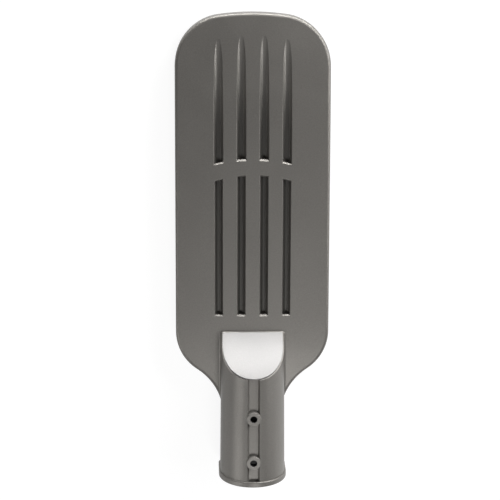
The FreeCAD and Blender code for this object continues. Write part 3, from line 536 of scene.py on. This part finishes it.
def turned_metal(name, dark, light):
    material, tree, shader = new_material(name)
    tone = use_group(tree, brushing, **turned_grain)["Tone"]
    put(tree, shader.inputs["Base Color"], blend(tree, tone, dark, light))
    put(tree, shader.inputs["Roughness"], spread(tree, tone, *turned_gloss))
    put(tree, shader.inputs["Metallic"], 1.0)
    raise_surface(tree, shader, tone, brushed_bump, brushed_depth)
    return material


steel = turned_metal("steel", dark=(0.46, 0.46, 0.47), light=(0.6, 0.6, 0.61))
brass = turned_metal("brass", dark=(0.5, 0.36, 0.14), light=(0.68, 0.52, 0.24))

driver_case, tree, shader = new_material("driver_case")
tone = use_group(tree, brushing)["Tone"]
along = split(tree, object_place(tree))["Y"]
near_end = calc(tree, "LESS_THAN", along, driver_low[1] + potting_depth)
far_end = calc(tree, "GREATER_THAN", along, driver_high[1] - potting_depth)
potted = calc(tree, "MAXIMUM", near_end, far_end)
case_colour = blend(tree, tone, case_dark, case_light)
put(tree, shader.inputs["Base Color"], blend(tree, potted, case_colour, potting_black))
put(tree, shader.inputs["Metallic"], spread(tree, potted, 1.0, 0.0))
put(tree, shader.inputs["Roughness"], spread(tree, tone, *case_gloss))
print("metals ready; driver ends at", round(driver_low[1], 4), round(driver_high[1], 4))

# %% [markdown]
# The window is toughened glass and the lens array over the LEDs is clear polycarbonate. Both
# are clear, and what tells them from nothing is their gloss, which drifts where hands and
# moulds have touched them. Light that bends through glass is slow to work out, and without it
# the board behind would be dark. So rays from the lamps pass straight through: for shadow rays
# a transparent shader takes the place of the glass.

# %% Glass
touch_scale = 35.0


def clear(name, tint, index, gloss):
    material, tree, shader = new_material(name)
    mottle = use_group(tree, soft_mottle, Scale=touch_scale)
    put(tree, shader.inputs["Base Color"], tint)
    put(tree, shader.inputs["Transmission Weight"], 1.0)
    put(tree, shader.inputs["IOR"], index)
    put(tree, shader.inputs["Roughness"], spread(tree, mottle["Amount"], *gloss))
    rays = tree.nodes.new("ShaderNodeLightPath")
    unshaded = tree.nodes.new("ShaderNodeBsdfTransparent")
    shadow = rays.outputs["Is Shadow Ray"]
    show_either(tree, "Material Output", shadow, shader.outputs["BSDF"], unshaded.outputs["BSDF"])
    return material


clear_glass = clear("clear_glass", tint=(0.95, 0.98, 0.97), index=1.52, gloss=(0.0, 0.03))
clear_plastic = clear("clear_plastic", tint=(0.97, 0.97, 0.98), index=1.58, gloss=(0.03, 0.08))
print("clear finishes ready")

# %% [markdown]
# The LED board is white, with copper tracks that show faintly through its solder mask and a
# bright pad round each LED. Each LED is a white ceramic square with a yellow phosphor face. Both
# finishes need to know how far a point is from the nearest LED. A mask for each LED would take
# dozens of nodes, so one more group folds the place on the board into one cell of the LED grid
# and puts out that distance.

# %% LED grid
led_columns = 4
led_rows = 6
led_size = 0.005
led_low, led_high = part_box("led_emitters")
first_x = led_low[0] + led_size / 2
first_y = led_low[1] + led_size / 2
pitch_x = (led_high[0] - led_low[0] - led_size) / (led_columns - 1)
pitch_y = (led_high[1] - led_low[1] - led_size) / (led_rows - 1)

led_grid, _, end = new_group("led_grid", {}, ("Distance", "Across"))
centred = led_grid.nodes.new("ShaderNodeMapping")
centred.inputs["Location"].default_value = (-first_x, -first_y, 0)
put(led_grid, centred.inputs["Vector"], object_place(led_grid))
folded = led_grid.nodes.new("ShaderNodeVectorMath")
folded.operation = "WRAP"
put(led_grid, folded.inputs[0], centred.outputs["Vector"])
folded.inputs[1].default_value = (pitch_x / 2, pitch_y / 2, 1)
folded.inputs[2].default_value = (-pitch_x / 2, -pitch_y / 2, -1)
cell = split(led_grid, folded.outputs["Vector"])
across = calc(led_grid, "ABSOLUTE", cell["X"])
along = calc(led_grid, "ABSOLUTE", cell["Y"])
put(led_grid, end["Distance"], calc(led_grid, "MAXIMUM", across, along))
put(led_grid, end["Across"], across)
print("LED pitch", round(pitch_x, 4), round(pitch_y, 4))

# %% [markdown]
# With that distance at hand, a track is what lies close to a line of LEDs, a pad what lies close
# to one LED, and the phosphor what lies well inside it. Pads are tinned, so they are more of a
# metal and glossier than the mask round them, and both stand up a little from the board.

# %% LED board and LEDs
mask_dark = (0.76, 0.76, 0.74)
mask_light = (0.84, 0.84, 0.82)
mask_grain = 1200.0
track_colour = (0.6, 0.63, 0.6)
track_half = 0.0015
pad_colour = (0.72, 0.7, 0.66)
pad_half = 0.0045
pad_metallic = 0.8
board_gloss = (0.45, 0.3)
copper_bump = 0.2
copper_depth = 0.00005
ceramic_white = (0.85, 0.85, 0.83)
phosphor_dark = (0.66, 0.44, 0.03)
phosphor_light = (0.8, 0.58, 0.08)
phosphor_grain = 4000.0
phosphor_half = 0.0019
led_gloss = (0.4, 0.25)

board_white, tree, shader = new_material("board_white")
grid = use_group(tree, led_grid)
grain = use_group(tree, fine_grain, Scale=mask_grain)
track = calc(tree, "LESS_THAN", grid["Across"], track_half)
pad = calc(tree, "LESS_THAN", grid["Distance"], pad_half)
mask_colour = blend(tree, grain["Tone"], mask_dark, mask_light)
tracked = blend(tree, track, mask_colour, track_colour)
put(tree, shader.inputs["Base Color"], blend(tree, pad, tracked, pad_colour))
put(tree, shader.inputs["Metallic"], calc(tree, "MULTIPLY", pad, pad_metallic))
put(tree, shader.inputs["Roughness"], spread(tree, pad, *board_gloss))
raise_surface(tree, shader, calc(tree, "MAXIMUM", track, pad), copper_bump, copper_depth)

emitter_yellow, tree, shader = new_material("emitter_yellow")
grid = use_group(tree, led_grid)
grain = use_group(tree, fine_grain, Scale=phosphor_grain)
phosphor = blend(tree, grain["Tone"], phosphor_dark, phosphor_light)
face = calc(tree, "LESS_THAN", grid["Distance"], phosphor_half)
put(tree, shader.inputs["Base Color"], blend(tree, face, ceramic_white, phosphor))
put(tree, shader.inputs["Roughness"], spread(tree, face, *led_gloss))
print("board and LED finishes ready")

# %% [markdown]
# Every solid takes one of these finishes. They could be put on one solid after another, but a
# table by finish shows at once what is made of the same stuff. Each finish is named after one of
# the record's slots.

# %% Finishes on the solids
finishes = {
    body_coat: ("housing", "front_frame"),
    plate_coat: ("blank_plate",),
    seal_rubber: ("frame_gasket", "glass_seal", "lead_grommet", "gland_seal", "gland_washer"),
    steel: ("frame_screws", "board_screws", "driver_screws", "earth_screw"),
    brass: ("terminal_screws", "earth_lug"),
    clear_glass: ("glass_cover",),
    clear_plastic: ("lens_array",),
    board_white: ("led_board",),
    emitter_yellow: ("led_emitters",),
    white_plastic: ("board_connector", "terminal_block"),
    driver_case: ("led_driver",),
    blue_plastic: ("surge_protector",),
    lead_brown: ("live_lead",),
    lead_blue: ("neutral_lead",),
    lead_green: ("earth_lead",),
    lead_red: ("led_lead_positive",),
    lead_black: ("led_lead_negative", "surge_leads"),
    black_nylon: ("gland_body", "gland_nut", "gland_cap", "breather_vent"),
}
dressed = 0
for material, names in finishes.items():
    for name in names:
        nodes[name].data.materials.clear()
        nodes[name].data.materials.append(material)
        dressed += 1
print("finishes on", dressed, "of", len(nodes), "solids")

# %% [markdown]
# Looking into the socket one sees the cable gland's cap, which is turned by hand and so has grip
# ribs all round. The solid is a plain cone, and this piece stands for it. Ribs could be joined on
# as boxes, but then faces would lie inside one another. So the cap starts as a cylinder along Y
# with many sides. Its mouth end is drawn in, and its front gets a rim and a hole. Faces are
# picked by where they are and where they look.

# %% Gland cap
cap_low, cap_high = (Vector(corner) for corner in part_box("gland_cap"))
cap_axis = (cap_low + cap_high) / 2
cap_length = cap_high.y - cap_low.y
cap_radius = (cap_high.x - cap_low.x) / 2
cap_sides = 48
cap_taper = 0.8
rib_height = 0.0005
mouth_radius = 0.0055
mouth_depth = 0.0036
rim_width = 0.001
foot_radius = cap_radius - rib_height
front_radius = cap_taper * foot_radius
nearness = 0.0001
facing = 0.9

bpy.ops.object.select_all(action="DESELECT")
bpy.ops.mesh.primitive_cylinder_add(
    vertices=cap_sides, radius=foot_radius, depth=cap_length, location=cap_axis,
    rotation=(math.radians(90), 0, 0),
)
cap = bpy.context.object
cap.name = "ribbed_gland_cap"
bpy.ops.object.transform_apply(location=True, rotation=True, scale=True)
mesh = cap.data


def pick(wanted):
    """Select the faces for which wanted(centre, normal) holds, and leave edit mode running."""
    bpy.ops.object.mode_set(mode="EDIT")
    bpy.ops.mesh.select_all(action="DESELECT")
    bpy.ops.mesh.select_mode(type="FACE")
    bpy.ops.object.mode_set(mode="OBJECT")
    for face in mesh.polygons:
        face.select = wanted(face.center, face.normal)
    bpy.ops.object.mode_set(mode="EDIT")


def is_front(centre, normal):
    return normal.y < -facing and centre.y < cap_low.y + nearness


pick(is_front)
front_centre = (cap_axis.x, cap_low.y, cap_axis.z)
bpy.ops.transform.resize(value=(cap_taper, 1, cap_taper), center_override=front_centre)
bpy.ops.mesh.inset(thickness=rim_width)
bpy.ops.mesh.inset(thickness=front_radius - rim_width - mouth_radius)
bpy.ops.mesh.extrude_region_move(TRANSFORM_OT_translate={"value": (0, mouth_depth, 0)})
bpy.ops.object.mode_set(mode="OBJECT")
print("cap faces before ribs", len(mesh.polygons))

# %% [markdown]
# The ribs are every second face of the side. A face's angle round the axis gives its number:
# the middles of the faces lie half a step past the corners. The ribs are raised along their
# normals, and a narrow bevel takes the edge off everything.

# %% Ribs of the gland cap
side_limit = 0.5
face_step = 2 * math.pi / cap_sides
edge_width = 0.00012
edge_segments = 2
smooth_angle = math.radians(35)


def is_rib(centre, normal):
    if abs(normal.y) > side_limit:
        return False
    away = Vector((centre.x - cap_axis.x, 0, centre.z - cap_axis.z))
    if away.length < mouth_radius + rim_width / 2:
        return False
    number = round(math.atan2(away.z, away.x) / face_step - 1 / 2)
    return number % 2 == 0


pick(is_rib)
bpy.ops.mesh.extrude_region_shrink_fatten(TRANSFORM_OT_shrink_fatten={"value": rib_height})
bpy.ops.mesh.select_all(action="SELECT")
bpy.ops.mesh.normals_make_consistent(inside=False)
bpy.ops.object.mode_set(mode="OBJECT")
bpy.ops.object.modifier_add(type="BEVEL")
cap.modifiers[-1].width = edge_width
cap.modifiers[-1].segments = edge_segments
bpy.ops.object.modifier_apply(modifier=cap.modifiers[-1].name)
bpy.ops.object.shade_smooth_by_angle(angle=smooth_angle)
cap.data.materials.append(black_nylon)
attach(cap, "root")
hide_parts("gland_cap")
print("ribbed cap", len(mesh.polygons), "faces, size in m", [round(side, 5) for side in cap.dimensions])
